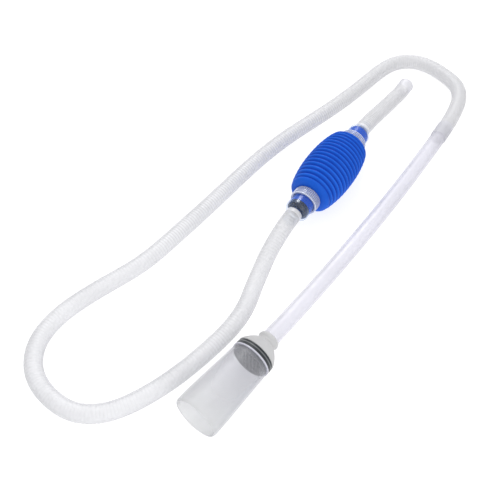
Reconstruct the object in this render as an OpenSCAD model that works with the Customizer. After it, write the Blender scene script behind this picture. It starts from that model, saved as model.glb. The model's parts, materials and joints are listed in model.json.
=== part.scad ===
// Gravel vacuum siphon: gravel tube and cap, bowed extension tube, long corrugated hose,
// ribbed priming bulb with a check valve at each end, and a short outlet hose.
// Millimetres, +Z up. The origin is on the floor, under the middle of the rigid parts.
// The gravel tube lies along Y with its mouth towards -Y.

/* [Gravel tube] */
// Length from the mouth to the back of the flange
gravel_tube_l = 70; // [66:1:74]
// Outer radius at the mouth
mouth_r = 20.4; // [20:0.1:20.8]
// Outer radius just before the flange
tube_back_r = 17.8; // [17.7:0.05:18]
// Wall thickness
gravel_wall = 1.3; // [1.2:0.05:1.35]
// Length of the straight bore behind the mouth
mouth_bore_l = 12; // [8:1:20]

/* [Cap] */
// Outer radius of the dark coupling ring and of the dome's rim
cap_r = 18.2; // [18:0.1:18.6]
// Visible width of the coupling ring between tube and dome
coupling_band_l = 4.9; // [4:0.1:6]
// Length of the coupling ring's spigot inside the gravel tube
spigot_l = 4; // [4:0.5:7]
// Height of the dome, from its rim to the end of its neck
dome_h = 20; // [19.5:0.5:22]
// Wall thickness of the dome
dome_wall = 1.5; // [1.2:0.1:1.7]
// Number of bars across the strainer
strainer_bars = 7; // [5:2:9]

/* [Extension tube] */
// Length along its centreline
tube_l = 336; // [320:1:345]
// Outer radius
tube_r = 7.7; // [7.5:0.05:7.75]
// Wall thickness
tube_wall = 1.4; // [1:0.1:1.8]
// Angle the tube turns through over its whole length
tube_bow = 8.9; // [7:0.1:10]
// How far the plane of the bow leans down from level
tube_lean = 25; // [22:0.1:25.4]

/* [Priming bulb] */
// Outer radius at the middle
bulb_r = 25.7; // [24:0.1:27]
// Outer radius where the end shoulders begin
bulb_end_r = 20.4; // [19.5:0.1:21]
// Half the length between the end faces
bulb_half_l = 40.5; // [40:0.5:41]
// Number of raised ribs
bulb_ribs = 14; // [10:1:16]
// Height of a rib
rib_h = 1.1; // [0.5:0.1:1.5]
// Wall thickness of the bulb
bulb_wall = 2.2; // [1.5:0.1:2.6]

/* [Valve fittings] */
// Outer radius of the lock rings
lock_ring_r = 13.8; // [13.4:0.1:14.5]
// Width of the lock rings
lock_ring_l = 9.4; // [9.2:0.1:9.6]
// Number of grip teeth round a lock ring
grip_teeth = 48; // [36:4:60]
// Outer radius of the clear valve barrels
barrel_r = 11.7; // [11.5:0.1:11.9]
// Radius of the rubber flaps
flap_r = 5.8; // [5.4:0.1:5.9]

/* [Hoses] */
// Outer radius of both corrugated hoses
hose_r = 8; // [7.8:0.1:8]
// Inner radius of the smooth outlet cuff
outlet_bore_r = 6.4; // [6:0.1:6.6]
// Length of the smooth outlet cuff
outlet_cuff_l = 12; // [10:1:14]
// Number of flat sides on a swept hose
hose_sides = 12; // [8:1:12]

/* [Hidden] */
$fn = 96;

// Where the two assemblies lie: the mouth's centre, and the bulb's centre and heading.
mouth_at = [40.5, -208.5, mouth_r];
bulb_at = [-33, 71, bulb_r];
bulb_yaw = 6.5;
bulb_way = [-sin(bulb_yaw), cos(bulb_yaw), 0];

// Small gaps and overlaps shared by many parts.
fit = 0.06;
cut = 1;

// Stations along the intake, measured from the mouth.
flange_l = 2;
flange_r = tube_back_r + 0.5;
band_from = gravel_tube_l + 0.1;
band_to = band_from + coupling_band_l;
neck_end = band_to + dome_h;
tube_from = neck_end - 11;
neck_lip_r = 9.6;
neck_waist_r = 8.8;
neck_bore_r = tube_r + fit;
spigot_r = tube_back_r - gravel_wall - 0.1;
spigot_in_r = spigot_r - 1.5;
dome_step_r = cap_r - dome_wall;

// Stations along the bulb's axis, measured outwards from its centre.
neck_r = 12.3;
neck_bore = 8.4;
neck_tip = 46;
gasket_t = 1;
ring_from = bulb_half_l + 0.3;
ring_to = ring_from + lock_ring_l;
flange_from = neck_tip + gasket_t;
flange_to = flange_from + 1.4;
barrel_to = 61.5;
shoulder_to = 65.5;
barb_to = 77.5;
barrel_in_r = 10.8;
shoulder_r = 8.2;
barb_r = 6.2;
barb_bore_r = 4.8;
seat_bore_r = 4.8;
sleeve_r = barrel_in_r - 0.02;
sleeve_in_r = 8.4;
sleeve_to = 57;
seat_t = 1.2;
flap_t = 1;
hinge_h = 6.4;
hinge_r = 1;
hinge_half_w = 3;
pin_r = 0.5;
pin_half_l = 6.2;

// Faces that the flaps close on. Both flaps open the way the water flows: into the bulb at
// the inlet, and out of it at the outlet.
inlet_seat_face = sleeve_to - seat_t;
outlet_seat_face = flange_from + seat_t;
inlet_hinge = inlet_seat_face - hinge_r - fit;
outlet_hinge = outlet_seat_face + hinge_r + fit;

// The extension tube is an arc: it starts level in the cap's neck and bows down to the floor.
bow_r = tube_l / (tube_bow * PI / 180);
bow_side = bow_r * (1 - cos(tube_bow));
tube_start = mouth_at + [0, tube_from, 0];
tube_end = tube_start
    + [-bow_side * cos(tube_lean), bow_r * sin(tube_bow), -bow_side * sin(tube_lean)];
tube_end_way = [
    -sin(tube_bow) * cos(tube_lean), cos(tube_bow), -sin(tube_bow) * sin(tube_lean)
];
cuff_r = 8.7;
cuff_on_tube = 16;
cuff_past_tube = 6;

// Centrelines of the hoses. The first and last points are on the fittings' faces, and the
// last stretch before a cuff is in line with it.
lead = 6;
inlet_exit = bulb_at - shoulder_to * bulb_way;
cuff_exit = tube_end + cuff_past_tube * tube_end_way;
main_route = concat([inlet_exit], [
    [-24.5, -5, 25.4], [-23, -18, 22.8], [-21.5, -31, 18.2], [-19, -44.5, 13.3],
    [-15, -58.5, 9.6], [-9.5, -74.5, 8], [-3, -91, 8], [1.5, -109, 8],
    [3, -130, 8], [2, -154, 8], [-0.5, -178, 8], [-5.5, -204, 8],
    [-12.5, -226, 8], [-24, -247, 8], [-43.5, -262, 8], [-68, -265.5, 8],
    [-93, -259.5, 8], [-112, -242.5, 8], [-120.5, -218, 8], [-120, -190, 8],
    [-113, -154, 8], [-106, -120, 8], [-104.5, -80, 8], [-105, -36, 8],
    [-106.5, 12, 8], [-107, 58, 8], [-104, 100, 8], [-97, 147, 8],
    [-92, 190, 8], [-90, 225, 8], [-88.5, 250, 8], [-82.5, 272, 8], [-68, 286.5, 8],
    [-48, 291, 8], [-28, 288, 8], [-9.5, 281, 8], [3.5, 265.5, 8.1], [10.5, 245, 8.4]
], [cuff_exit + lead * tube_end_way, cuff_exit]);
outlet_exit = bulb_at + shoulder_to * bulb_way;
outlet_end = [-53.2, 248, hose_r];
outlet_route = concat([outlet_exit], [
    [-41.3, 142, 25.5], [-42.2, 149, 24.7], [-43.2, 156, 23.4], [-44.2, 163, 21.8],
    [-45.2, 170, 19.9], [-46.2, 177, 17.9], [-47.2, 184, 15.9], [-48.1, 191, 14],
    [-48.9, 198, 12.3], [-49.7, 205, 10.8], [-50.3, 212, 9.6], [-50.8, 219, 8.7],
    [-51, 224.5, 8.2]
], [outlet_end - (outlet_cuff_l + lead) * bulb_way, outlet_end - outlet_cuff_l * bulb_way]);

// Local Z runs along the intake from the mouth, and local -Y is up.
module along_intake() {
    translate(mouth_at) rotate([-90, 0, 0]) children();
}

// Local Z runs along the bulb's axis from its centre towards one end, and local -Y is up.
module along_bulb(end = 1) {
    translate(bulb_at) rotate([0, 0, bulb_yaw]) rotate([-90 * end, 0, 0])
        rotate([0, 0, end > 0 ? 0 : 180]) children();
}

// A ring from z0 to z1.
module ring(z0, z1, r_out, r_in) {
    translate([0, 0, z0]) difference() {
        cylinder(h = z1 - z0, r = r_out);
        translate([0, 0, -cut]) cylinder(h = z1 - z0 + 2 * cut, r = r_in);
    }
}

// A tube swept along a route, with one ring of corners square to the route at each point.
function unit(v) = v / norm(v);
function way_at(route, i) = unit(
    route[min(i + 1, len(route) - 1)] - route[max(i - 1, 0)]
);
function ring_at(centre, way, r, sides) = let (
    side = unit(cross(way, [0, 0, 1])),
    up = cross(side, way)
) [for (k = [0 : sides - 1]) let (a = 360 * k / sides)
    centre + r * (cos(a) * side + sin(a) * up)];
module sweep(route, r, sides) {
    corners = [for (i = [0 : len(route) - 1])
        each ring_at(route[i], way_at(route, i), r, sides)];
    last = (len(route) - 1) * sides;
    walls = [for (i = [0 : len(route) - 2], k = [0 : sides - 1])
        let (a = i * sides + k, b = i * sides + (k + 1) % sides)
        each [[a, b, b + sides], [a, b + sides, a + sides]]];
    first_face = [for (k = [0 : sides - 1]) sides - 1 - k];
    last_face = [for (k = [0 : sides - 1]) last + k];
    polyhedron(points = corners, faces = concat([first_face, last_face], walls));
}

// Clear gravel tube: straight bore at the mouth, then a gentle taper to the flange.
module gravel_tube() {
    color([0.86, 0.88, 0.9, 0.5]) along_intake() rotate_extrude() polygon([
        [mouth_r - gravel_wall, 0], [mouth_r - 0.3, 0], [mouth_r, 0.3],
        [mouth_r, mouth_bore_l],
        [tube_back_r, gravel_tube_l - flange_l], [flange_r, gravel_tube_l - flange_l],
        [flange_r, gravel_tube_l], [tube_back_r - gravel_wall, gravel_tube_l],
        [tube_back_r - gravel_wall, gravel_tube_l - flange_l],
        [mouth_r - gravel_wall, mouth_bore_l]
    ]);
}

// Dark coupling ring: a spigot in the gravel tube, an outer band, and a step in the dome.
groove_from = band_from - 2.8;
groove_l = 1.4;
module coupling_ring() {
    color([0.33, 0.34, 0.36]) along_intake() difference() {
        rotate_extrude() polygon([
            [spigot_in_r, band_from - spigot_l], [spigot_r - 0.6, band_from - spigot_l],
            [spigot_r, band_from - spigot_l + 0.8], [spigot_r, band_from],
            [cap_r, band_from], [cap_r, band_to], [dome_step_r, band_to],
            [dome_step_r, band_to + 3], [spigot_in_r, band_to + 3]
        ]);
        ring(groove_from, groove_from + groove_l, spigot_r + cut, spigot_r - 0.8);
    }
}

// Rubber ring that seals and grips the gravel tube.
module tube_seal_ring() {
    color([0.16, 0.16, 0.17]) along_intake()
        ring(groove_from, groove_from + groove_l, spigot_r + 0.05, spigot_r - 0.8);
}

// Slotted strainer that keeps gravel and fish out of the hose.
strainer_t = 1.4;
strainer_from = band_from - spigot_l + 0.6;
module strainer_grid() {
    bar_pitch = 2 * spigot_in_r / (strainer_bars + 1);
    bar_w = bar_pitch * 0.42;
    color([0.3, 0.31, 0.33]) along_intake() {
        ring(strainer_from, strainer_from + strainer_t, spigot_in_r, spigot_in_r - 2);
        translate([0, 0, strainer_from]) intersection() {
            cylinder(h = strainer_t, r = spigot_in_r - 1);
            union() {
                for (i = [1 : strainer_bars])
                    translate([i * bar_pitch - spigot_in_r - bar_w / 2, -spigot_in_r, 0])
                        cube([bar_w, 2 * spigot_in_r, strainer_t]);
                translate([-spigot_in_r, -bar_w / 2, 0])
                    cube([2 * spigot_in_r, bar_w, strainer_t]);
            }
        }
    }
}

// Frosted dome: a rim over the coupling ring's step, a sloping shoulder, and a lipped neck.
rim_band_l = 0.8;
dome_step_l = 3.2;
shoulder_h = 13;
shoulder_bow = 1.6;
gasket_from = neck_end - 3.4;
gasket_to = neck_end - 1.8;
gasket_r = neck_bore_r + 0.9;
function dome_line(a, r_low, r_high, z_low, z_high) = [
    r_high + (r_low - r_high) * pow(cos(a), shoulder_bow),
    z_low + (z_high - z_low) * pow(sin(a), shoulder_bow)
];
module cap_dome() {
    inner_rim_r = dome_step_r + 0.02;
    outer = [for (a = [0 : 10 : 90]) dome_line(
        a, cap_r, neck_waist_r, band_to + rim_band_l, band_to + shoulder_h)];
    inner = [for (a = [90 : -10 : 0]) dome_line(
        a, inner_rim_r, neck_bore_r, band_to + dome_step_l, band_to + shoulder_h - 1)];
    color([0.8, 0.81, 0.82, 0.9]) along_intake() rotate_extrude() polygon(concat(
        [[inner_rim_r, band_to], [cap_r, band_to]], outer,
        [[neck_waist_r, neck_end - 5], [neck_lip_r, neck_end - 3.8],
        [neck_lip_r, neck_end - 1.4], [neck_lip_r - 1, neck_end],
        [neck_bore_r, neck_end], [neck_bore_r, gasket_to], [gasket_r, gasket_to],
        [gasket_r, gasket_from], [neck_bore_r, gasket_from]], inner
    ));
}

// Soft ring in a groove in the neck, round the extension tube.
module neck_gasket() {
    color([0.75, 0.76, 0.78]) along_intake()
        ring(gasket_from, gasket_to, gasket_r, neck_bore_r);
}

// Bowed clear tube, an exact arc that starts along the intake axis.
module extension_tube() {
    color([0.9, 0.92, 0.95, 0.45]) translate(tube_start) rotate([0, -tube_lean, 0])
        translate([-bow_r, 0, 0]) rotate_extrude(angle = tube_bow, $fn = 960)
            translate([bow_r, 0]) difference() {
                circle(r = tube_r, $fn = 64);
                circle(r = tube_r - tube_wall, $fn = 64);
            }
}

// Smooth cuff of the long hose, over the end of the extension tube.
module intake_cuff() {
    turn = atan2(-tube_end_way[0], tube_end_way[1]);
    dip = asin(-tube_end_way[2]);
    color([0.9, 0.91, 0.93, 0.6]) translate(tube_end)
        rotate([0, 0, turn]) rotate([-90 - dip, 0, 0])
            ring(-cuff_on_tube, cuff_past_tube, cuff_r, tube_r + 0.1);
}

module main_hose() {
    color([0.88, 0.89, 0.9, 0.7]) sweep(main_route, hose_r, hose_sides);
}

// Ribbed bulb: barrel outline with raised ribs between two smooth round shoulders, and a
// neck at each end that the lock rings screw onto.
ribbed_half_l = bulb_half_l - 5;
shoulder_face_r = 15;
function barrel_line(s) = bulb_end_r
    + (bulb_r - rib_h - bulb_end_r) * (1 - pow(abs(s) / ribbed_half_l, 2.2));
function rib_line(i) = let (
    pitch = 2 * ribbed_half_l / bulb_ribs,
    s0 = -ribbed_half_l + i * pitch
) [for (k = [[0, 0], [0.22, 0.75], [0.4, 1], [0.6, 1], [0.78, 0.75]])
    [barrel_line(s0 + k[0] * pitch) + rib_h * k[1], s0 + k[0] * pitch]];
function shoulder_line(way) = [for (a = [0 : 15 : 90])
    let (b = way > 0 ? a : 90 - a, from = ribbed_half_l + 0.8)
    [shoulder_face_r + (bulb_end_r + 0.4 - shoulder_face_r) * cos(b),
    way * (from + (bulb_half_l - from) * sin(b))]];
module bulb() {
    outside = concat(
        [[neck_bore, -neck_tip], [neck_r, -neck_tip], [neck_r, -bulb_half_l]],
        shoulder_line(-1), [for (i = [0 : bulb_ribs - 1]) each rib_line(i)],
        [[barrel_line(ribbed_half_l), ribbed_half_l]], shoulder_line(1),
        [[neck_r, bulb_half_l], [neck_r, neck_tip], [neck_bore, neck_tip]]
    );
    inside = [for (s = [ribbed_half_l : -ribbed_half_l / 9 : -ribbed_half_l - 1])
        [barrel_line(s) - bulb_wall, s]];
    color([0.1, 0.3, 0.85]) along_bulb() rotate_extrude() polygon(concat(
        outside, [[neck_bore, bulb_half_l - 2]], inside, [[neck_bore, 2 - bulb_half_l]]
    ));
}

// Clear valve barrel with a clamped flange, a round shoulder and a barbed hose tail.
function connector_line() = concat(
    [[barrel_in_r, flange_from], [neck_r, flange_from], [neck_r, flange_to],
    [barrel_r, flange_to]],
    [for (a = [0 : 15 : 90]) [
        shoulder_r + (barrel_r - shoulder_r) * cos(a),
        barrel_to + (shoulder_to - barrel_to) * sin(a)
    ]],
    [[barb_r - 0.5, shoulder_to]],
    [for (k = [0 : 2]) each [
        [barb_r, shoulder_to + 1 + 3.6 * k], [barb_r - 0.7, shoulder_to + 4.4 + 3.6 * k]
    ]],
    [[barb_r - 0.8, barb_to], [barb_bore_r, barb_to], [barb_bore_r, shoulder_to - 0.5]],
    [for (a = [90 : -15 : 0]) [
        barb_bore_r + (barrel_in_r - barb_bore_r) * cos(a),
        barrel_to - 1 + (shoulder_to - barrel_to - 1) * sin(a)
    ]]
);
// A line that follows the inside of the barrel's round shoulder, with a little room.
lining_r = barrel_in_r - 0.15;
function lining_line(turn) = [for (a = [0 : turn / 5 : turn]) [
    barb_bore_r + (lining_r - barb_bore_r) * cos(a),
    barrel_to - 1.15 + (shoulder_to - barrel_to - 1) * sin(a)
]];
module connector(end) {
    color([0.8, 0.83, 0.9, 0.45]) along_bulb(end)
        rotate_extrude() polygon(connector_line());
}
module inlet_connector() { connector(-1); }
module outlet_connector() { connector(1); }

// Clear lock ring with a toothed grip, and a lip that pulls the barrel onto the neck.
ring_bore_r = neck_r + 0.15;
ring_lip_r = barrel_r + 0.15;
lip_from = flange_to + 0.15;
module lock_ring(end) {
    tooth = 360 / grip_teeth;
    color([0.78, 0.8, 0.92, 0.55]) along_bulb(end) difference() {
        union() {
            translate([0, 0, ring_from + 0.8]) linear_extrude(ring_to - ring_from - 1.6)
                polygon([for (i = [0 : grip_teeth - 1]) each [
                    lock_ring_r * [cos(i * tooth), sin(i * tooth)],
                    lock_ring_r * [cos((i + 0.45) * tooth), sin((i + 0.45) * tooth)],
                    (lock_ring_r - 0.4) * [cos((i + 0.6) * tooth), sin((i + 0.6) * tooth)],
                    (lock_ring_r - 0.4) * [cos((i + 0.85) * tooth), sin((i + 0.85) * tooth)]
                ]]);
            translate([0, 0, ring_from])
                cylinder(h = ring_to - ring_from, r = lock_ring_r - 0.5);
        }
        translate([0, 0, ring_from - cut])
            cylinder(h = lip_from - ring_from + cut, r = ring_bore_r);
        translate([0, 0, ring_from]) cylinder(h = 2 * lock_ring_l, r = ring_lip_r);
    }
}
module inlet_lock_ring() { lock_ring(-1); }
module outlet_lock_ring() { lock_ring(1); }

// Flat rubber gasket between the bulb's neck and the valve barrel.
module gasket(end) {
    color([0.14, 0.14, 0.15]) along_bulb(end)
        ring(neck_tip, flange_from, neck_r - 0.1, sleeve_in_r + 0.1);
}
module inlet_gasket() { gasket(-1); }
module outlet_gasket() { gasket(1); }

// Blue valve seat: a sleeve in the barrel with a seat wall at one end, and holes for the pin.
module valve_seat(end, seat_from, hinge_at) {
    color([0.12, 0.28, 0.78]) along_bulb(end) difference() {
        union() {
            ring(flange_from, sleeve_to, sleeve_r, sleeve_in_r);
            ring(seat_from, seat_from + seat_t, sleeve_in_r + 0.5, seat_bore_r);
        }
        translate([0, -hinge_h, hinge_at]) rotate([0, 90, 0])
            cylinder(h = 2 * pin_half_l, r = pin_r, center = true);
    }
}
module inlet_valve_seat() { valve_seat(-1, inlet_seat_face, inlet_hinge); }

// The outlet's seat goes on as a lining of the barrel's shoulder, clear of the open flap.
nose_in_r = 7.6;
nose_from = sleeve_to - 0.5;
module outlet_valve_seat() {
    nose = lining_line(50);
    color([0.12, 0.28, 0.78]) union() {
        valve_seat(1, flange_from, outlet_hinge);
        along_bulb() rotate_extrude() polygon(concat(
            [[sleeve_in_r, nose_from], [lining_r, nose_from]], nose, [[nose_in_r, nose[5].y]]
        ));
    }
}

// Rubber seal between the inlet valve seat and the round shoulder of its barrel.
module inlet_seal() {
    seal_bore_r = barb_bore_r + 0.4;
    seal = lining_line(60);
    color([0.12, 0.12, 0.14]) along_bulb(-1) rotate_extrude() polygon(concat(
        [[seal_bore_r, sleeve_to + 0.1], [lining_r, sleeve_to + 0.1]],
        seal, [[seal_bore_r, seal[5].y]]
    ));
}

// Rubber flap: a disc on a tab, with a hinge barrel round the pin. The disc lies from
// disc_from to disc_from + flap_t.
module flap(end, disc_from, hinge_at) {
    color([0.2, 0.2, 0.22]) along_bulb(end) difference() {
        union() {
            translate([0, 0, disc_from]) cylinder(h = flap_t, r = flap_r);
            translate([-hinge_half_w, -hinge_h, disc_from])
                cube([2 * hinge_half_w, hinge_h - 2, flap_t]);
            translate([0, -hinge_h, hinge_at]) rotate([0, 90, 0])
                cylinder(h = 2 * hinge_half_w, r = hinge_r, center = true);
        }
        translate([0, -hinge_h, hinge_at]) rotate([0, 90, 0])
            cylinder(h = 2 * pin_half_l, r = pin_r + fit, center = true);
    }
}
module inlet_flap() { flap(-1, inlet_seat_face - fit - flap_t, inlet_hinge); }
module outlet_flap() { flap(1, outlet_seat_face + fit, outlet_hinge); }

// Steel hinge pin held in the seat's sleeve.
module flap_pin(end, hinge_at) {
    color([0.7, 0.71, 0.73]) along_bulb(end) translate([0, -hinge_h, hinge_at])
        rotate([0, 90, 0]) cylinder(h = 2 * pin_half_l, r = pin_r, center = true);
}
module inlet_flap_pin() { flap_pin(-1, inlet_hinge); }
module outlet_flap_pin() { flap_pin(1, outlet_hinge); }

module outlet_hose() {
    color([0.88, 0.89, 0.9, 0.7]) sweep(outlet_route, hose_r, hose_sides);
}

// Smooth open cuff at the outlet's end.
module outlet_cuff() {
    color([0.92, 0.93, 0.95, 0.7]) translate(outlet_end)
        rotate([0, 0, bulb_yaw]) rotate([-90, 0, 0])
            ring(-outlet_cuff_l, 0, hose_r, outlet_bore_r);
}

gravel_tube();
tube_seal_ring();
coupling_ring();
strainer_grid();
cap_dome();
neck_gasket();
extension_tube();
intake_cuff();
main_hose();
inlet_connector();
inlet_lock_ring();
inlet_gasket();
inlet_valve_seat();
inlet_seal();
inlet_flap();
inlet_flap_pin();
bulb();
outlet_gasket();
outlet_lock_ring();
outlet_connector();
outlet_valve_seat();
outlet_flap();
outlet_flap_pin();
outlet_hose();
outlet_cuff();
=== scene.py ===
"""Looks of a gravel vacuum siphon: camera, hoses, clear and rubber pieces, materials and light.

Lengths are in millimetres until a mesh is made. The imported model's record gives the places of
the mouth, the bulb and the outlet, and the rest is worked out from the CAD model's dimensions.
"""
import json
import math

import bpy
import numpy as np
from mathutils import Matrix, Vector


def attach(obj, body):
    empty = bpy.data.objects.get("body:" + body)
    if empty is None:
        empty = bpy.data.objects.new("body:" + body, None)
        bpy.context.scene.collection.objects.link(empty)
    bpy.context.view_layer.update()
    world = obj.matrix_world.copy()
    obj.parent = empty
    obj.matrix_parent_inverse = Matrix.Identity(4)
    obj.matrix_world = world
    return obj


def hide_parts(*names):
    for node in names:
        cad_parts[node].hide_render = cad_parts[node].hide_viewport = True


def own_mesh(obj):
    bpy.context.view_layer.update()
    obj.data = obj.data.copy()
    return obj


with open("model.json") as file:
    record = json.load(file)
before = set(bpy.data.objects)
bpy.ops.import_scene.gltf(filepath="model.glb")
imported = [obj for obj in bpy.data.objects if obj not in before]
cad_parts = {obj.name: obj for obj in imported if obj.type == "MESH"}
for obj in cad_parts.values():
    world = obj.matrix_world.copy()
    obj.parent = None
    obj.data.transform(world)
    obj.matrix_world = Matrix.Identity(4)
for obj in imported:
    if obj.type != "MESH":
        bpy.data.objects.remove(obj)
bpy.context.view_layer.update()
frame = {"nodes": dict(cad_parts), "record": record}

MM = 0.001
UP = np.array((0.0, 0.0, 1.0))

# Dimensions of the CAD model, by the names that they have there.
GRAVEL_TUBE_L, MOUTH_R, TUBE_BACK_R, GRAVEL_WALL, MOUTH_BORE_L = 70, 20.4, 17.8, 1.3, 12
FLANGE_R, FLANGE_L = 18.3, 2
CAP_R, COUPLING_BAND_L, SPIGOT_L, DOME_H, DOME_WALL = 18.2, 4.9, 4, 20, 1.5
TUBE_L, TUBE_R, TUBE_WALL, TUBE_BOW, TUBE_LEAN = 336, 7.7, 1.4, 8.9, 25
BULB_R, BULB_END_R, BULB_HALF_L, BULB_RIBS, RIB_H, BULB_WALL = 25.7, 20.4, 40.5, 14, 1.1, 2.2
LOCK_RING_R, LOCK_RING_L, GRIP_TEETH = 13.8, 9.4, 48
GRIP_SIDES = GRIP_TEETH * 6
BARREL_R, BARREL_IN_R, NECK_R, NECK_BORE, NECK_TIP = 11.7, 10.8, 12.3, 8.4, 46
BARREL_TO, SHOULDER_TO, BARB_TO, SLEEVE_TO, BARB_BORE_R = 61.5, 65.5, 77.5, 57, 4.8
HOSE_R, OUTLET_BORE_R, OUTLET_CUFF_L = 8, 6.4, 12
CUFF_R, CUFF_ON_TUBE, CUFF_PAST_TUBE, LEAD = 8.7, 16, 6, 6

# ---------------------------------------------------------------- places from the frame

record = frame["record"]
joints = {j["name"]: j for j in record["behaviour"]["joints"]}
mounts = {m["name"]: m for m in record["mounts"]}


def unit(v):
    v = np.array(v, float)
    return v / np.linalg.norm(v)


mouth_at = np.array(mounts["gravel_mouth"]["pos_m"]) / MM
intake_way = -unit(mounts["gravel_mouth"]["axis"])
inlet_ring_at = np.array(joints["inlet_ring_turn"]["pos_m"]) / MM
outlet_ring_at = np.array(joints["outlet_ring_turn"]["pos_m"]) / MM
bulb_at = (inlet_ring_at + outlet_ring_at) / 2
bulb_way = unit(outlet_ring_at - inlet_ring_at)
outlet_end = np.array(mounts["outlet_bore"]["pos_m"]) / MM

# Stations along the intake, from the mouth, and along the bulb's axis, from its centre.
BAND_FROM = GRAVEL_TUBE_L + 0.1
BAND_TO = BAND_FROM + COUPLING_BAND_L
NECK_END = BAND_TO + DOME_H
TUBE_FROM = NECK_END - 11
RING_FROM = BULB_HALF_L + 0.3
RING_TO = RING_FROM + LOCK_RING_L
FLANGE_FROM = NECK_TIP + 1
FLANGE_TO = FLANGE_FROM + 1.4

# ---------------------------------------------------------------- camera

AZIMUTH, ELEVATION, DISTANCE = math.radians(39.5), math.radians(52), 0.7397
LOOK_AT = Vector((-0.039, -0.044, 0.008))
camera = bpy.data.objects.new("camera", bpy.data.cameras.new("camera"))
bpy.context.collection.objects.link(camera)
bpy.context.scene.camera = camera
camera.data.lens = 57
away = Vector((
    math.sin(AZIMUTH) * math.cos(ELEVATION),
    -math.cos(AZIMUTH) * math.cos(ELEVATION),
    math.sin(ELEVATION),
))
camera.location = LOOK_AT + away * DISTANCE
camera.rotation_mode = "QUATERNION"
camera.rotation_quaternion = (-away).to_track_quat("-Z", "Y")
camera.data.clip_start = 0.01

# ---------------------------------------------------------------- shapes


class Spine:
    """A centreline: gives the point and the two ways square to it at any length along it."""

    def __init__(self, points, start=0.0):
        self.points = np.array(points, float)
        steps = np.linalg.norm(np.diff(self.points, axis=0), axis=1)
        self.lengths = start + np.concatenate([[0], np.cumsum(steps)])
        self.ways = np.gradient(self.points, self.lengths, axis=0)

    def follow(self, values, lengths):
        return np.stack([np.interp(lengths, self.lengths, values[:, k]) for k in range(3)], 1)

    def rings(self, lengths):
        way = self.follow(self.ways, lengths)
        way /= np.linalg.norm(way, axis=1)[:, None]
        side = np.cross(way, UP)
        side /= np.linalg.norm(side, axis=1)[:, None]
        return self.follow(self.points, lengths), side, np.cross(side, way)


def straight(origin, way, low, high):
    """A straight spine through origin, from low to high along way."""
    return Spine([origin + way * low, origin + way * high], low)


def spline(points, step=1.0):
    """Points every step along the cubic spline through the given points."""
    p = np.array(points, float)
    t = np.concatenate([[0], np.cumsum(np.linalg.norm(np.diff(p, axis=0), axis=1))])
    h = np.diff(t)
    system = np.eye(len(p))
    bends = np.zeros_like(p)
    for i in range(1, len(p) - 1):
        system[i, i - 1:i + 2] = h[i - 1], 2 * (h[i - 1] + h[i]), h[i]
        bends[i] = 6 * ((p[i + 1] - p[i]) / h[i] - (p[i] - p[i - 1]) / h[i - 1])
    m = np.linalg.solve(system, bends)
    at = np.linspace(0, t[-1], int(t[-1] / step) + 1)
    i = np.clip(np.searchsorted(t, at, side="right") - 1, 0, len(h) - 1)
    left, right, gap = (at - t[i])[:, None], (t[i + 1] - at)[:, None], h[i][:, None]
    return (
        (m[i] * right ** 3 + m[i + 1] * left ** 3) / (6 * gap)
        + (p[i] / gap - m[i] * gap / 6) * right
        + (p[i + 1] / gap - m[i + 1] * gap / 6) * left
    )


def rounded(corners, steps=4):
    """A closed outline of (radius, length) points. A corner is (radius, length, fillet)."""
    outline = []
    for i, (r, s, fillet) in enumerate(corners):
        here = np.array((r, s), float)
        back = unit(np.array(corners[i - 1][:2]) - here)
        on = unit(np.array(corners[(i + 1) % len(corners)][:2]) - here)
        if not fillet:
            outline.append(here)
            continue
        outline.append(here + back * fillet * 1.3)
        for k in range(steps + 1):
            t = k / steps
            outline.append(here + back * fillet * (1 - t) ** 2 + on * fillet * t ** 2)
        outline.append(here + on * fillet * 1.3)
    return outline


def mesh_piece(name, points, faces, material, sharp=35):
    mesh = bpy.data.meshes.new(name)
    mesh.from_pydata((np.array(points) * MM).tolist(), [], [list(map(int, f)) for f in faces])
    mesh.validate()
    mesh.polygons.foreach_set("use_smooth", [True] * len(mesh.polygons))
    mesh.set_sharp_from_angle(angle=math.radians(sharp))
    piece = bpy.data.objects.new(name, mesh)
    bpy.context.collection.objects.link(piece)
    piece.data.materials.append(material)
    return piece


def turned_grid(outline, spine, sides, shape=None):
    """Points and faces of the skin that a closed outline makes round a spine.

    shape(radii, angles, lengths) may change the radii, to cut teeth or ridges.
    """
    outline = np.array(outline, float)
    centre, side, up = spine.rings(outline[:, 1])
    angles = np.arange(sides) * 2 * math.pi / sides
    radii = np.repeat(outline[:, :1], sides, axis=1)
    if shape:
        radii = shape(radii, angles[None, :], outline[:, 1:2])
    points = centre[:, None] + radii[:, :, None] * (
        np.cos(angles)[None, :, None] * side[:, None] + np.sin(angles)[None, :, None] * up[:, None]
    )
    rows = np.arange(len(outline))[:, None]
    columns = np.arange(sides)[None, :]
    next_row, next_column = (rows + 1) % len(outline), (columns + 1) % sides
    faces = np.stack([
        rows * sides + columns, next_row * sides + columns,
        next_row * sides + next_column, rows * sides + next_column,
    ], 2)
    return points.reshape(-1, 3), faces.reshape(-1, 4)


def turned(name, outline, spine, material, sides=96, shape=None, sharp=35):
    points, faces = turned_grid(outline, spine, sides, shape)
    return mesh_piece(name, points, faces, material, sharp)

# ---------------------------------------------------------------- materials


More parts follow.
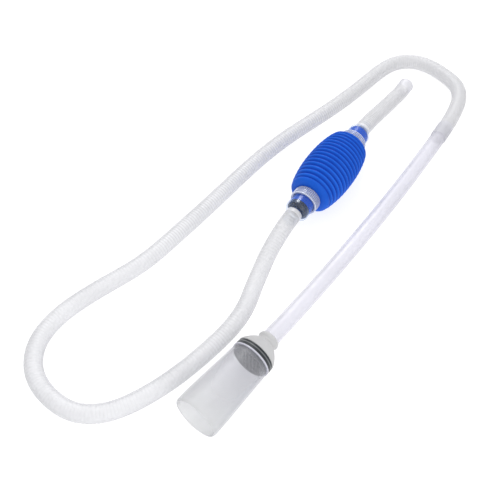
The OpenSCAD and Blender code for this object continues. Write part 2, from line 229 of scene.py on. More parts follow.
class Nodes:
    """A material's node tree, with short ways to add and join nodes."""

    def __init__(self, name):
        self.material = bpy.data.materials.new(name)
        self.material.use_nodes = True
        self.tree = self.material.node_tree
        self.tree.nodes.clear()

    def add(self, kind, inputs=None, **settings):
        node = self.tree.nodes.new(kind)
        for key, value in settings.items():
            setattr(node, key, value)
        for key, value in (inputs or {}).items():
            if isinstance(value, bpy.types.NodeSocket):
                self.tree.links.new(value, node.inputs[key])
            else:
                node.inputs[key].default_value = value
        return node

    def place(self):
        return self.add("ShaderNodeTexCoord").outputs["Object"]

    def noise(self, scale, detail=3.0):
        inputs = {"Vector": self.place(), "Scale": scale, "Detail": detail}
        return self.add("ShaderNodeTexNoise", inputs).outputs["Fac"]

    def spread(self, value, low, high, from_low=0.3, from_high=0.7):
        inputs = {
            "Value": value, "From Min": from_low, "From Max": from_high,
            "To Min": low, "To Max": high,
        }
        return self.add("ShaderNodeMapRange", inputs).outputs["Result"]

    def blend(self, share, first, second):
        node = self.add("ShaderNodeMix", data_type="RGBA")
        for socket, value in ((0, share), (6, first), (7, second)):
            if isinstance(value, bpy.types.NodeSocket):
                self.tree.links.new(value, node.inputs[socket])
            else:
                node.inputs[socket].default_value = value
        return node.outputs[2]

    def maths(self, operation, first, second):
        return self.add("ShaderNodeMath", {0: first, 1: second}, operation=operation).outputs[0]

    def bump(self, height, distance):
        inputs = {"Height": height, "Distance": distance, "Strength": 1.0}
        return self.add("ShaderNodeBump", inputs).outputs["Normal"]

    def finish(self, shader):
        self.add("ShaderNodeOutputMaterial", {"Surface": shader})
        return self.material


def rgb(red, green, blue):
    """A linear colour from one that is given as it looks on a screen, 0 to 255."""
    def linear(value):
        value /= 255
        return value / 12.92 if value <= 0.04045 else ((value + 0.055) / 1.055) ** 2.4
    return linear(red), linear(green), linear(blue), 1.0


def solid_material(name, dark, light, rough, grain=600, bump=0.00003, specular=0.5,
                   patch=60, metallic=0.0, groove=None):
    """Moulded plastic, rubber or steel: two close shades, uneven gloss and a fine grain.

    groove may give a painted shade for the bottoms of grooves, where the mesh's "crest" value is
    0.
    """
    n = Nodes(name)
    shade = n.blend(n.spread(n.noise(patch), 0, 1), dark, light)
    if groove:
        # Painted shade: the colour turns towards the groove colour as the crest value falls to 0.
        crest = n.add("ShaderNodeAttribute", attribute_name="crest").outputs["Fac"]
        shade = n.blend(crest, groove, shade)
    gloss = n.spread(n.noise(patch * 3, 5), rough[0], rough[1])
    grained = n.bump(n.noise(grain, 4), bump)
    inputs = {
        "Base Color": shade, "Roughness": gloss, "Normal": grained, "Metallic": metallic,
        "Specular IOR Level": specular,
    }
    return n.finish(n.add("ShaderNodeBsdfPrincipled", inputs).outputs[0])


def clear_material(name, face, edge, film, rim, tint, rough, gloss=0.3, patch=40, drift=None):
    """Clear or milky plastic: a film that is thin face on and dense at the edge, under gloss.

    face and edge are the film's shades seen face on and edge on. drift may shift the film
    from one y to another, in metres: it gives both, then the film's share, the tint and the
    film's shade at the second. On the hose it is painted shade, darker towards its far bend.
    """
    n = Nodes(name)
    uneven = n.spread(n.noise(patch * 4, 4), rough[0], rough[1])
    normal = n.bump(n.noise(260), 0.00002)
    facing = n.add("ShaderNodeLayerWeight", {"Blend": 0.5, "Normal": normal}).outputs["Facing"]
    turn = n.maths("POWER", facing, 2.0)
    cloudy = n.maths("ADD", turn, n.spread(n.noise(patch), -0.12, 0.12))
    shade = n.blend(cloudy, face, edge)
    film_share = n.spread(turn, film, rim, 0, 1)
    if drift:
        from_y, to_y, far_film, far_tint, far_shade = drift
        y = n.add("ShaderNodeSeparateXYZ", {"Vector": n.place()}).outputs["Y"]
        along = n.spread(y, 0, 1, from_y, to_y)
        film_share = n.maths("MULTIPLY", film_share, n.spread(along, 1, far_film / film, 0, 1))
        tint = n.blend(along, tint, far_tint)
        shade = n.blend(n.spread(along, 0, 0.8, 0, 1), shade, far_shade)
    see_through = n.add("ShaderNodeBsdfTransparent", {"Color": tint}).outputs[0]
    body = n.add("ShaderNodeBsdfPrincipled", {
        "Base Color": shade, "Roughness": uneven, "Normal": normal, "Specular IOR Level": 0.25,
    }).outputs[0]
    filmed = n.add("ShaderNodeMixShader", {0: film_share, 1: see_through, 2: body}).outputs[0]
    shine = n.add("ShaderNodeBsdfGlossy", {
        "Color": (1, 1, 1, 1), "Roughness": uneven, "Normal": normal}).outputs[0]
    mirror = n.spread(n.maths("POWER", facing, 4.0), 0.02, gloss, 0, 1)
    return n.finish(n.add("ShaderNodeMixShader", {0: mirror, 1: filmed, 2: shine}).outputs[0])


materials = {
    # The bulb's groove colour is painted shade in the bottoms of the grooves between its ribs.
    "bulb": solid_material(
        "blue_bulb_rubber", rgb(26, 94, 208), rgb(36, 108, 226), (0.4, 0.5),
        grain=900, specular=0.1, patch=30, groove=rgb(8, 62, 172)),
    "seat": solid_material(
        "blue_seat_plastic", rgb(10, 70, 178), rgb(24, 90, 206), (0.26, 0.36), specular=0.2),
    "dark": solid_material(
        "dark_moulded_plastic", rgb(46, 50, 54), rgb(66, 70, 74), (0.28, 0.42), grain=800,
        specular=0.35),
    "rubber": solid_material(
        "dark_flap_rubber", rgb(22, 24, 32), rgb(46, 50, 62), (0.16, 0.26), specular=0.6),
    "pin": solid_material(
        "drawn_steel", rgb(170, 172, 176), rgb(200, 202, 205), (0.2, 0.34), metallic=1.0,
        grain=1500),
    "dome": solid_material(
        "frosted_dome_plastic", rgb(190, 190, 191), rgb(206, 206, 207), (0.42, 0.54),
        grain=1200, bump=0.00002, patch=35, specular=0.3),
    "gravel_tube": clear_material(
        "clear_gravel_tube", rgb(221, 222, 224), rgb(188, 190, 194), 0.34, 0.8,
        (0.99, 0.99, 0.99, 1), (0.34, 0.46), gloss=0.08,
        drift=(mouth_at[1] * MM, (mouth_at[1] + GRAVEL_TUBE_L) * MM, 0.17,
               (0.93, 0.93, 0.945, 1), rgb(198, 199, 207))),
    "lip": clear_material(
        "thick_tube_lip", rgb(222, 222, 234), rgb(206, 206, 220), 0.8, 0.95,
        (0.97, 0.97, 0.98, 1), (0.1, 0.2), gloss=0.3),
    "pipe": clear_material(
        "clear_extension_tube", rgb(242, 241, 249), rgb(196, 196, 206), 0.34, 0.8,
        (0.985, 0.985, 0.99, 1), (0.3, 0.42), gloss=0.08),
    "barrel": clear_material(
        "clear_valve_barrel", rgb(110, 156, 236), rgb(120, 156, 232), 0.02, 0.3,
        (0.96, 0.98, 1, 1), (0.22, 0.32), gloss=0.07),
    "lock_ring": clear_material(
        "clear_lock_ring", rgb(220, 226, 246), rgb(222, 226, 242), 0.45, 0.8,
        (0.94, 0.95, 0.98, 1), (0.2, 0.3), gloss=0.2),
    # Painted shade: drift darkens the hose's film towards its far bend, from y -0.2 to 0.26 m.
    "hose": clear_material(
        "milky_hose_plastic", rgb(247, 247, 250), rgb(180, 181, 186), 0.38, 0.88,
        (0.99, 0.99, 0.99, 1), (0.38, 0.5), gloss=0.02, patch=18,
        drift=(-0.2, 0.26, 0.38, (0.98, 0.98, 0.98, 1), rgb(222, 222, 225))),
    # Painted highlight: a whiter, denser film on the first ribs at each hose's start.
    "hose_start_painted_highlight": clear_material(
        "hose_start_painted_highlight_plastic", rgb(246, 246, 249), rgb(208, 210, 216), 0.6, 0.92,
        (0.99, 0.99, 0.99, 1), (0.24, 0.34), gloss=0.25, patch=18),
    "cuff": clear_material(
        "smooth_cuff_plastic", rgb(224, 224, 230), rgb(190, 190, 198), 0.5, 0.9,
        (0.98, 0.98, 0.99, 1), (0.4, 0.5), gloss=0.02, patch=18),
    "strainer": solid_material(
        "dark_strainer_plastic", rgb(22, 25, 33), rgb(38, 42, 52), (0.24, 0.34), grain=800),
    # Painted highlight: a lighter grey than the band for the light line along its raised bead.
    "bead": solid_material(
        "mid_grey_bead_painted_highlight", rgb(106, 108, 111), rgb(124, 126, 129), (0.3, 0.42), grain=800,
        specular=0.35),
    # Painted highlight: a dense near-white film on a thin band at each lock ring's outer edge.
    "edge_painted_highlight": clear_material(
        "painted_highlight_edge_film", rgb(238, 242, 252), rgb(222, 228, 246), 0.85, 0.95,
        (0.98, 0.98, 1, 1), (0.1, 0.18), gloss=0.4),
    # Painted shade: a darker film for the faces between a lock ring's grip teeth.
    "groove_painted_shade": clear_material(
        "lock_ring_painted_groove_shade", rgb(170, 182, 222), rgb(184, 194, 228), 0.45, 0.8,
        (0.94, 0.95, 0.98, 1), (0.2, 0.3), gloss=0.15),
}

# ---------------------------------------------------------------- hoses

# The routes' points are the CAD model's own.
MAIN_ROUTE = [
    (-24.5, -5, 25.4), (-23, -18, 22.8), (-21.5, -31, 18.2), (-19, -44.5, 13.3),
    (-15, -58.5, 9.6), (-9.5, -74.5, 8), (-3, -91, 8), (1.5, -109, 8),
    (3, -130, 8), (2, -154, 8), (-0.5, -178, 8), (-5.5, -204, 8),
    (-12.5, -226, 8), (-24, -247, 8), (-43.5, -262, 8), (-68, -265.5, 8),
    (-93, -259.5, 8), (-112, -242.5, 8), (-120.5, -218, 8), (-120, -190, 8),
    (-113, -154, 8), (-106, -120, 8), (-104.5, -80, 8), (-105, -36, 8),
    (-106.5, 12, 8), (-107, 58, 8), (-104, 100, 8), (-97, 147, 8),
    (-92, 190, 8), (-90, 225, 8), (-88.5, 250, 8), (-82.5, 272, 8), (-68, 286.5, 8),
    (-48, 291, 8), (-28, 288, 8), (-9.5, 281, 8), (3.5, 265.5, 8.1), (10.5, 245, 8.4),
]
OUTLET_ROUTE = [
    (-41.3, 142, 25.5), (-42.2, 149, 24.7), (-43.2, 156, 23.4), (-44.2, 163, 21.8),
    (-45.2, 170, 19.9), (-46.2, 177, 17.9), (-47.2, 184, 15.9), (-48.1, 191, 14),
    (-48.9, 198, 12.3), (-49.7, 205, 10.8), (-50.3, 212, 9.6), (-50.8, 219, 8.7),
    (-51, 224.5, 8.2),
]
HOSE_PITCH, GROOVE_DEPTH, HOSE_WALL = 2.8, 0.25, 0.8
# Points along a rib, the length at a hose's start that carries a painted highlight, and the points
# round each hose.
RIB_STEPS, PAINTED_HIGHLIGHT_L = 6, 4.5
MAIN_SIDES, OUTLET_SIDES = 32, 40
CUFF_OUT_R = CUFF_R - 0.45
CUFF_IN_R = TUBE_R + 0.12
HOSE_IN_R = HOSE_R - HOSE_WALL - GROOVE_DEPTH


def bowed_tube():
    """Points along the extension tube, an arc from the cap's neck down to the floor."""
    bow_r = TUBE_L / math.radians(TUBE_BOW)
    turn = np.radians(np.linspace(0, TUBE_BOW, 60))
    out = bow_r * (1 - np.cos(turn))
    lean = math.radians(TUBE_LEAN)
    start = mouth_at + intake_way * TUBE_FROM
    return start + np.stack([
        -out * math.cos(lean), bow_r * np.sin(turn), -out * math.sin(lean)], 1)


def corrugated(start, stop):
    """Outline of ribs from start to stop along a hose, each a round crest."""
    count = round((stop - start) / HOSE_PITCH)
    outline = []
    for i in range(count * RIB_STEPS):
        share = i / RIB_STEPS
        crest = abs(math.sin(math.pi * share)) ** 0.7
        s = start + share * (stop - start) / count
        outline.append((HOSE_R - GROOVE_DEPTH * (1 - crest), s))
    return outline


def hose_shades(piece, outline, sides, cuff_from):
    """Paints a highlight on the hose's first ribs at its start, and gives its smooth cuff a shade
    of its own.
    """
    piece.data.materials.append(materials["hose_start_painted_highlight"])
    piece.data.materials.append(materials["cuff"])
    # Faces near the hose's start get the painted highlight; faces past cuff_from get the cuff's
    # film.
    shades = [int(s < PAINTED_HIGHLIGHT_L) + 2 * int(s > cuff_from) for r, s in outline]
    piece.data.polygons.foreach_set("material_index", np.repeat(shades, sides).astype(np.int32))


tube_points = bowed_tube()
tube_end_way = unit(tube_points[-1] - tube_points[-2])
cuff_exit = tube_points[-1] + tube_end_way * CUFF_PAST_TUBE
cuff_tip = tube_points[-1] - tube_end_way * CUFF_ON_TUBE
inlet_exit = bulb_at - bulb_way * SHOULDER_TO
outlet_exit = bulb_at + bulb_way * SHOULDER_TO

main_points = spline(
    [inlet_exit] + MAIN_ROUTE + [cuff_exit + tube_end_way * LEAD, cuff_exit])
main_line = np.concatenate([main_points, [cuff_tip]])
main_spine = Spine(main_line)
main_l = main_spine.lengths[-1]
ribbed_to = main_l - CUFF_ON_TUBE - CUFF_PAST_TUBE - 2
main_outline = corrugated(1.5, ribbed_to) + [
    (HOSE_R, ribbed_to + 0.2), (CUFF_OUT_R - 0.1, ribbed_to + 3), (CUFF_OUT_R, ribbed_to + 5),
    (CUFF_OUT_R, main_l - 4), (CUFF_OUT_R - 0.1, main_l - 1), (TUBE_R + 0.3, main_l),
    (CUFF_IN_R, main_l), (CUFF_IN_R, ribbed_to + 3), (HOSE_IN_R, ribbed_to)]
inner_steps = np.linspace(ribbed_to, 0, 90)[1:]
main_outline += [(HOSE_IN_R, s) for s in inner_steps]
main_outline += [(HOSE_R - 0.6, 0), (HOSE_R - 0.1, 0.4)]
main_hose = turned(
    "main_hose_tube", main_outline, main_spine, materials["hose"], MAIN_SIDES, sharp=60)
hose_shades(main_hose, main_outline, MAIN_SIDES, ribbed_to + 1)
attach(main_hose, "hose_run")
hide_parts("main_hose", "intake_cuff")

outlet_points = spline(
    [outlet_exit] + OUTLET_ROUTE
    + [outlet_end - bulb_way * (OUTLET_CUFF_L + LEAD), outlet_end - bulb_way * OUTLET_CUFF_L])
outlet_line = np.concatenate([outlet_points, [outlet_end]])
outlet_spine = Spine(outlet_line)
outlet_l = outlet_spine.lengths[-1]
cuff_from = outlet_l - OUTLET_CUFF_L
outlet_bore = [(OUTLET_BORE_R, s) for s in np.linspace(outlet_l - 0.4, 0, 30)]
outlet_outline = corrugated(1.5, cuff_from - 1) + [
    (HOSE_R - 0.1, cuff_from - 0.6), (HOSE_R, cuff_from), (HOSE_R, outlet_l - 3),
    (HOSE_R + 0.15, outlet_l - 2.6), (HOSE_R + 0.15, outlet_l - 0.6), (HOSE_R - 0.2, outlet_l),
    (OUTLET_BORE_R + 0.3, outlet_l)] + outlet_bore + [(HOSE_R - 0.6, 0), (HOSE_R - 0.1, 0.4)]
outlet_hose = turned(
    "outlet_hose_tube", outlet_outline, outlet_spine, materials["hose"], OUTLET_SIDES, sharp=60)
hose_shades(outlet_hose, outlet_outline, OUTLET_SIDES, cuff_from - 0.2)
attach(outlet_hose, "outlet_end")
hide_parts("outlet_hose", "outlet_cuff")

# ---------------------------------------------------------------- gravel tube, cap and tube


def stand_in(piece, body, slot, *nodes):
    """Fixes a piece to its body and puts it in place of its CAD nodes."""
    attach(piece, body)
    if nodes:
        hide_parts(*nodes)
    return piece


intake = straight(mouth_at, intake_way, -5, NECK_END + 5)
bore_r = TUBE_BACK_R - GRAVEL_WALL
gravel_outline = rounded([
    (MOUTH_R - GRAVEL_WALL, 0, 0.2), (MOUTH_R - 0.9, 0, 0.2), (MOUTH_R - 0.3, 0.9, 0.5),
    (MOUTH_R, 2.6, 1),
    (MOUTH_R, MOUTH_BORE_L, 3),
    (TUBE_BACK_R, GRAVEL_TUBE_L - FLANGE_L, 0.3), (FLANGE_R, GRAVEL_TUBE_L - FLANGE_L, 0.3),
    (FLANGE_R, GRAVEL_TUBE_L, 0.3), (bore_r, GRAVEL_TUBE_L, 0.2),
    (bore_r, GRAVEL_TUBE_L - FLANGE_L, 0.2), (MOUTH_R - GRAVEL_WALL, MOUTH_BORE_L, 3)])
stand_in(
    turned("gravel_tube_shell", gravel_outline, intake, materials["gravel_tube"], 128),
    "gravel_tube", "clear_plastic", "gravel_tube")

lip_outline = rounded([
    (bore_r + 0.4, GRAVEL_TUBE_L - 1.6, 0.2), (FLANGE_R + 0.05, GRAVEL_TUBE_L - 1.6, 0.5),
    (FLANGE_R + 0.05, GRAVEL_TUBE_L - 0.1, 0.5), (bore_r + 0.4, GRAVEL_TUBE_L - 0.1, 0.2)])
stand_in(
    turned("gravel_tube_lip", lip_outline, intake, materials["lip"], 128),
    "gravel_tube", "clear_plastic", "gravel_tube")

spigot_r = bore_r - 0.1
spigot_in_r = spigot_r - 1.5
step_r = CAP_R - DOME_WALL
band_middle = (BAND_FROM + BAND_TO) / 2
coupling_outline = rounded([
    (spigot_in_r, BAND_FROM - SPIGOT_L, 0.3), (spigot_r - 0.3, BAND_FROM - SPIGOT_L, 0.4),
    (spigot_r, BAND_FROM - 2.9, 0.2), (spigot_r - 0.8, BAND_FROM - 2.8, 0),
    (spigot_r - 0.8, BAND_FROM - 1.4, 0), (spigot_r, BAND_FROM - 1.3, 0.2),
    (spigot_r, BAND_FROM, 0.1), (CAP_R - 0.3, BAND_FROM, 0.3),
    (CAP_R - 0.3, band_middle - 0.6, 0.1), (CAP_R, band_middle - 0.45, 0.2),
    (CAP_R, band_middle + 0.45, 0.2), (CAP_R - 0.3, band_middle + 0.6, 0.1),
    (CAP_R - 0.3, BAND_TO, 0.3), (step_r, BAND_TO, 0.1), (step_r, BAND_TO + 3, 0.3),
    (spigot_in_r, BAND_TO + 3, 0.3)])
stand_in(
    turned("coupling_band", coupling_outline, intake, materials["dark"], 128),
    "cap", "dark_plastic", "coupling_ring")

bead_outline = rounded([
    (CAP_R - 0.4, band_middle - 0.5, 0.1), (CAP_R + 0.05, band_middle - 0.5, 0.2),
    (CAP_R + 0.05, band_middle + 0.5, 0.2), (CAP_R - 0.4, band_middle + 0.5, 0.1)])
# The bead piece's lighter grey is a painted highlight on the band's middle.
stand_in(
    turned("coupling_bead", bead_outline, intake, materials["bead"], 128),
    "cap", "dark_plastic")

WAIST_R, LIP_R, SHOULDER_H, SHOULDER_BOW = 8.8, 9.6, 13, 1.6
neck_bore_r = TUBE_R + 0.06


def dome_line(r_low, r_high, z_low, z_high, steps=18):
    """The sloping shoulder of the dome, from its rim up to its neck."""
    line = []
    for a in np.radians(np.linspace(0, 90, steps)):
        line.append((
            r_high + (r_low - r_high) * max(math.cos(a), 0) ** SHOULDER_BOW,
            z_low + (z_high - z_low) * math.sin(a) ** SHOULDER_BOW))
    return line


dome_outline = (
    [(step_r, BAND_TO + 0.05), (CAP_R - 0.25, BAND_TO + 0.05), (CAP_R, BAND_TO + 0.3)]
    + dome_line(CAP_R, WAIST_R, BAND_TO + 0.9, BAND_TO + SHOULDER_H)
    + [(WAIST_R, NECK_END - 5), (WAIST_R + 0.2, NECK_END - 4.6), (LIP_R - 0.2, NECK_END - 3.9),
       (LIP_R, NECK_END - 3.6), (LIP_R, NECK_END - 1.7), (LIP_R - 0.2, NECK_END - 1.3),
       (LIP_R - 0.8, NECK_END - 0.2), (LIP_R - 1.1, NECK_END), (neck_bore_r, NECK_END),
       (neck_bore_r, NECK_END - 1.8), (neck_bore_r, BAND_TO + SHOULDER_H - 1)]
    + dome_line(step_r, neck_bore_r, BAND_TO + 3.2, BAND_TO + SHOULDER_H - 1)[::-1][1:])
stand_in(
    turned("dome_shell", dome_outline, intake, materials["dome"], 128, sharp=50),
    "cap", "frosted_plastic", "cap_dome", "neck_gasket")


def strainer():
    """A slotted plate: a rim, parallel bars with round edges, and a stiffening rib across."""
    top = BAND_FROM - SPIGOT_L + 0.6
    thick, rim_r = 1.4, spigot_in_r
    rim = rounded([
        (rim_r - 2, top, 0.3), (rim_r, top, 0.1), (rim_r, top + thick, 0.1),
        (rim_r - 2, top + thick, 0.3)], 3)
    points, faces = turned_grid(rim, intake, 96)
    points, faces = list(points), list(map(list, faces))
    across, over = unit(np.cross(intake_way, UP)), UP
    pitch = 2 * rim_r / 8

    def bar(start, stop, half_w):
        """A bar from start to stop, given as (across, up) pairs, with a round front."""
        start, stop = np.array(start, float), np.array(stop, float)
        way = unit(stop - start)
        square = np.array((-way[1], way[0]))
        section = [(-1, thick), (-1, 0.4), (-0.7, 0.1), (0, 0), (0.7, 0.1), (1, 0.4), (1, thick)]
        base = len(points)
        for end in (start, stop):
            for w, depth in section:
                flat = end + square * w * half_w
                points.append(
                    mouth_at + across * flat[0] + over * flat[1] + intake_way * (top + depth))
        n = len(section)
        for k in range(n):
            faces.append([base + k, base + (k + 1) % n, base + n + (k + 1) % n, base + n + k])
        faces.append([base + k for k in range(n)][::-1])
        faces.append([base + n + k for k in range(n)])

    for i in range(1, 8):
        x = i * pitch - rim_r
        reach = math.sqrt((rim_r - 1) ** 2 - x ** 2)
        bar((x, -reach), (x, reach), pitch * 0.21)
    bar((1 - rim_r, 0), (rim_r - 1, 0), pitch * 0.21)
    return mesh_piece("strainer_plate", points, faces, materials["strainer"])


stand_in(strainer(), "cap", "dark_plastic", "strainer_grid")

pipe_spine = Spine(tube_points)
pipe_l = pipe_spine.lengths[-1]
pipe_steps = np.linspace(1, pipe_l - 1, 40)
pipe_outline = (
    [(TUBE_R - 0.3, 0), (TUBE_R, 0.3)] + [(TUBE_R, s) for s in pipe_steps]
    + [(TUBE_R, pipe_l - 0.3), (TUBE_R - 0.3, pipe_l), (TUBE_R - TUBE_WALL + 0.2, pipe_l),
       (TUBE_R - TUBE_WALL, pipe_l - 0.2)]
    + [(TUBE_R - TUBE_WALL, s) for s in pipe_steps[::-1]]
    + [(TUBE_R - TUBE_WALL, 0.2), (TUBE_R - TUBE_WALL + 0.2, 0)])
stand_in(
    turned("extension_pipe", pipe_outline, pipe_spine, materials["pipe"], 64),
    "hose_run", "clear_plastic", "extension_tube")

# ---------------------------------------------------------------- bulb

RIBBED_HALF_L = BULB_HALF_L - 5
SHOULDER_FACE_R = 15
# How far a groove dips below the bulb's barrel line, and the points round the bulb.
GROOVE_DIP = 0.7
BULB_SIDES = 144
bulb_spine = straight(bulb_at, bulb_way, -60, 60)


def barrel_line(s):
    """Radius of the bulb's barrel, under its ribs, s from its middle."""
    drop = (abs(s) / RIBBED_HALF_L) ** 2.2
    return BULB_END_R + (BULB_R - RIB_H - BULB_END_R) * (1 - drop)


def bulb_outline():
    shoulder = []
    from_s = RIBBED_HALF_L + 0.8
    for a in np.radians(np.linspace(0, 90, 12)):
        shoulder.append((
            SHOULDER_FACE_R + (BULB_END_R + 0.5 - SHOULDER_FACE_R) * math.cos(a),
            from_s + (BULB_HALF_L - from_s) * math.sin(a)))
    steps = 12
    count = BULB_RIBS * steps
    ribs = []
    for i in range(count + 1):
        s = -RIBBED_HALF_L + 2 * RIBBED_HALF_L * i / count
        swell = math.sin(math.pi * i / steps) ** 2
        ribs.append((barrel_line(s) - GROOVE_DIP + (RIB_H + GROOVE_DIP) * swell, s))
    inner = [
        (barrel_line(s) - BULB_WALL, s)
        for s in np.linspace(RIBBED_HALF_L, -RIBBED_HALF_L, 24)]
    return (
        [(NECK_BORE, -BULB_HALF_L), (NECK_R, -BULB_HALF_L)]
        + [(r, -s) for r, s in shoulder[::-1]] + ribs + shoulder
        + [(NECK_R, BULB_HALF_L), (NECK_BORE, BULB_HALF_L), (NECK_BORE, BULB_HALF_L - 2)]
        + inner + [(NECK_BORE, 2 - BULB_HALF_L)])


def mark_crests(piece, outline, sides):
    """Stores how near each point is to a crest, the mask of the bulb's painted groove shade: 0 in
    a groove, 1 on a rib's crest, 0.7 away from the ribs.
    """
    crest = []
    for r, s in outline:
        on_rib = abs(s) < RIBBED_HALF_L
        depth = (r - barrel_line(s) + GROOVE_DIP) / (RIB_H + GROOVE_DIP)
        crest.append(min(max(depth, 0), 1) if on_rib else 0.7)
    values = piece.data.attributes.new("crest", "FLOAT", "POINT")
    values.data.foreach_set("value", np.repeat(crest, sides).astype(np.float32))


bulb = turned("bulb_body", bulb_outline(), bulb_spine, materials["bulb"], BULB_SIDES, sharp=70)
mark_crests(bulb, bulb_outline(), BULB_SIDES)
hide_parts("bulb")
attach(bulb, "hose_run")
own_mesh(bulb)

# ---------------------------------------------------------------- valve fittings

SEAT_T, SEAT_HOLE_R, NOSE_IN_R = 1.2, 4.8, 7.6
BARREL_END_WALL, LINING_GAP = 1, 0.15
THREADS, THREAD_DEPTH, THREAD_STEPS = 3, 0.5, 18
BARBS, BARB_PITCH = 3, 3.6


def neck_outline():
    """The bulb's threaded neck, three round threads on a short tube."""
    crests = []
    for i in range(THREAD_STEPS + 1):
        share = i / THREAD_STEPS
        crests.append((
            NECK_R - THREAD_DEPTH * (1 - abs(math.sin(THREADS * math.pi * share)) ** 0.6),
            BULB_HALF_L + 0.6 + share * (NECK_TIP - BULB_HALF_L - 1.2)))
    return (
        [(NECK_R - 0.2, BULB_HALF_L - 0.5)] + crests
        + [(NECK_R - 0.6, NECK_TIP), (NECK_BORE, NECK_TIP), (NECK_BORE, BULB_HALF_L - 0.5)])


def barrel_outline():
    """Clear valve barrel: a flange, a round shoulder and a barbed tail."""
    shoulder_r, barb_r = 8.2, 6.2
    outside = [(BARREL_IN_R, FLANGE_FROM), (NECK_R, FLANGE_FROM), (NECK_R, FLANGE_TO),
               (BARREL_R, FLANGE_TO + 0.1)]
    inside = [(BARB_BORE_R, BARB_TO), (BARB_BORE_R, SHOULDER_TO - 0.5)]
    turn = np.radians(np.linspace(0, 90, 10))
    for a in turn:
        outside.append((
            shoulder_r + (BARREL_R - shoulder_r) * math.cos(a),
            BARREL_TO + (SHOULDER_TO - BARREL_TO) * math.sin(a)))
    for a in turn[::-1]:
        inside.append((
            BARB_BORE_R + (BARREL_IN_R - BARB_BORE_R) * math.cos(a),
            BARREL_TO - BARREL_END_WALL
            + (SHOULDER_TO - BARREL_TO - BARREL_END_WALL) * math.sin(a)))
    barbs = [(barb_r - 0.5, SHOULDER_TO)]
    for k in range(BARBS):
        root = SHOULDER_TO + BARB_PITCH * k
        barbs += [(barb_r - 0.1, root + 0.9), (barb_r, root + 1.1), (barb_r - 0.7, root + 4.4)]
    return outside + barbs + [(barb_r - 0.8, BARB_TO - 0.2), (barb_r - 1, BARB_TO)] + inside


def knurled(radii, angles, lengths):
    """Cuts the grip teeth of a lock ring between its two smooth rims."""
    tooth = 0.35 * np.clip(np.sin(angles * GRIP_TEETH) * 2, -1, 1)
    on_grip = (radii > LOCK_RING_R - 0.6) & (lengths > RING_FROM + 1.1) & (lengths < RING_TO - 1.7)
    return np.where(on_grip, radii - 0.25 + tooth, radii)


def lock_ring_outline():
    bore_r, lip_r = NECK_R + 0.15, BARREL_R + 0.15
    lip_from = FLANGE_TO + 0.15
    return rounded([
        (bore_r, RING_FROM, 0.2), (LOCK_RING_R - 0.4, RING_FROM, 0.4),
        (LOCK_RING_R - 0.3, RING_FROM + 1, 0.1), (LOCK_RING_R, RING_FROM + 1.3, 0),
        (LOCK_RING_R, RING_TO - 2, 0), (LOCK_RING_R - 0.3, RING_TO - 1.7, 0),
        (LOCK_RING_R - 0.1, RING_TO - 1.2, 0.3), (LOCK_RING_R - 0.1, RING_TO, 0.5),
        (lip_r, RING_TO, 0.2), (lip_r, lip_from, 0.1), (bore_r, lip_from, 0.1)])


def in_groove(count):
    """Picks the faces that lie between the teeth of a lock ring."""
    angles = (np.arange(count) % GRIP_SIDES + 0.5) * 2 * math.pi / GRIP_SIDES
    return (np.sin(angles * GRIP_TEETH) < 0).astype(np.int32)


def ring_edge_outline():
    """The outer edge of a lock ring, a thin band that carries a painted highlight."""
    return rounded([
        (LOCK_RING_R - 0.7, RING_TO - 0.5, 0.1), (LOCK_RING_R - 0.05, RING_TO - 0.5, 0.1),
        (LOCK_RING_R - 0.05, RING_TO + 0.05, 0.2), (LOCK_RING_R - 0.7, RING_TO + 0.05, 0.1)])


def seat_outline(seat_from):
    """Sleeve of a valve seat, with a wall across it that the flap closes on.

    The outlet's sleeve has its wall at the bulb's end, and lines the barrel's shoulder.
    """
    out_r, in_r, hole_r = BARREL_IN_R - 0.02, NECK_BORE, SEAT_HOLE_R
    if seat_from > FLANGE_FROM:
        return rounded([
            (in_r, FLANGE_FROM, 0.2), (out_r, FLANGE_FROM, 0.2), (out_r, SLEEVE_TO, 0.3),
            (hole_r, SLEEVE_TO, 0.4), (hole_r, SLEEVE_TO - SEAT_T, 0.2),
            (in_r, SLEEVE_TO - SEAT_T, 0.1)])
    lining = []
    for a in np.radians(np.linspace(0, 50, 6)):
        lining.append((
            BARB_BORE_R + (out_r - LINING_GAP - BARB_BORE_R) * math.cos(a),
            BARREL_TO - BARREL_END_WALL - LINING_GAP
            + (SHOULDER_TO - BARREL_TO - BARREL_END_WALL) * math.sin(a)))
    return [
        (hole_r, FLANGE_FROM + 0.3), (hole_r + 0.3, FLANGE_FROM), (out_r - 0.2, FLANGE_FROM),
        (out_r, FLANGE_FROM + 0.2), (out_r, SLEEVE_TO - 0.6)] + lining + [
        (NOSE_IN_R, lining[-1][1]), (in_r, SLEEVE_TO), (in_r, FLANGE_FROM + SEAT_T),
        (hole_r, FLANGE_FROM + SEAT_T)]


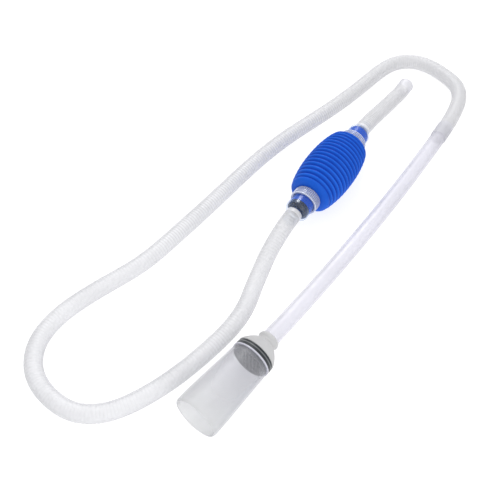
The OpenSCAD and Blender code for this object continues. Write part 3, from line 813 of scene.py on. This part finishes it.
ends = {
    "inlet": (straight(bulb_at, -bulb_way, 30, 90), "hose_run", SLEEVE_TO - SEAT_T),
    "outlet": (straight(bulb_at, bulb_way, 30, 90), "outlet_end", FLANGE_FROM),
}
for end, (spine, body, seat_from) in ends.items():
    stand_in(
        turned(f"{end}_neck_thread", neck_outline(), spine, materials["bulb"], 96, sharp=70),
        body, "blue_bulb")
    stand_in(
        turned(f"{end}_barrel", barrel_outline(), spine, materials["barrel"], 96),
        body, "clear_plastic", f"{end}_connector")
    grip = turned(
        f"{end}_lock_ring_grip", lock_ring_outline(), spine, materials["lock_ring"],
        GRIP_SIDES, knurled, 25)
    # The faces between the teeth take the painted groove shade.
    grip.data.materials.append(materials["groove_painted_shade"])
    grip.data.polygons.foreach_set("material_index", in_groove(len(grip.data.polygons)))
    stand_in(grip, f"{end}_ring", "clear_plastic", f"{end}_lock_ring")
    # A thin band at the ring's outer edge that carries a painted highlight.
    stand_in(
        turned(f"{end}_lock_ring_painted_highlight_band", ring_edge_outline(), spine, materials["edge_painted_highlight"], 128),
        f"{end}_ring", "clear_plastic", f"{end}_lock_ring")
    stand_in(
        turned(f"{end}_seat_sleeve", seat_outline(seat_from), spine, materials["seat"], 96),
        body, "blue_plastic", f"{end}_valve_seat")

# ---------------------------------------------------------------- kept CAD nodes

kept = {
    "tube_seal_ring": "rubber",
    "inlet_gasket": "rubber", "outlet_gasket": "rubber", "inlet_seal": "rubber",
    "inlet_flap": "rubber", "outlet_flap": "rubber",
    "inlet_flap_pin": "pin", "outlet_flap_pin": "pin",
}
for node, material in kept.items():
    for slot in frame["nodes"][node].material_slots:
        slot.material = materials[material]

# ---------------------------------------------------------------- floor and light


def floor_material():
    n = Nodes("pale_floor")
    shade = n.blend(n.spread(n.noise(3), 0, 1), rgb(160, 160, 161), rgb(166, 166, 167))
    return n.finish(n.add("ShaderNodeBsdfPrincipled", {
        "Base Color": shade, "Roughness": 0.9, "Specular IOR Level": 0.1,
        "Emission Color": (1, 1, 1, 1), "Emission Strength": 0.78,
        "Normal": n.bump(n.noise(40), 0.0001),
    }).outputs[0])


FLOOR_CELL, FLOOR_CELLS, FLOOR_DROP = 1000, 8, 0.05
floor_row = [FLOOR_CELL * (i - FLOOR_CELLS / 2) for i in range(FLOOR_CELLS + 1)]
floor_points = [(x, y, -FLOOR_DROP) for x in floor_row for y in floor_row]
floor_faces = []
for ix in range(FLOOR_CELLS):
    for iy in range(FLOOR_CELLS):
        corner = ix * len(floor_row) + iy
        beside = corner + len(floor_row)
        floor_faces.append((corner, beside, beside + 1, corner + 1))
mesh_piece("floor", floor_points, floor_faces, floor_material())


def softbox(name, spot, aim, size, power):
    lamp = bpy.data.objects.new(name, bpy.data.lights.new(name, "AREA"))
    bpy.context.collection.objects.link(lamp)
    lamp.data.shape = "RECTANGLE"
    lamp.data.size, lamp.data.size_y = size
    lamp.data.energy = power
    lamp.location = spot
    lamp.rotation_mode = "QUATERNION"
    lamp.rotation_quaternion = (Vector(aim) - Vector(spot)).to_track_quat("-Z", "Y")


softbox("key", (-0.8, 0.9, 1.1), (-0.03, 0, 0), (0.6, 0.5), 11)
softbox("fill", (1.0, -0.8, 0.8), (-0.03, 0, 0), (1.2, 1.0), 7)
softbox("top", (0, 0, 1.8), (0, 0, 0), (1.4, 1.4), 5)

world = bpy.data.worlds.new("studio")
bpy.context.scene.world = world
world.use_nodes = True
world.node_tree.nodes["Background"].inputs["Color"].default_value = (1, 1, 1, 1)
world.node_tree.nodes["Background"].inputs["Strength"].default_value = 0.6
bpy.context.scene.view_settings.view_transform = "Standard"
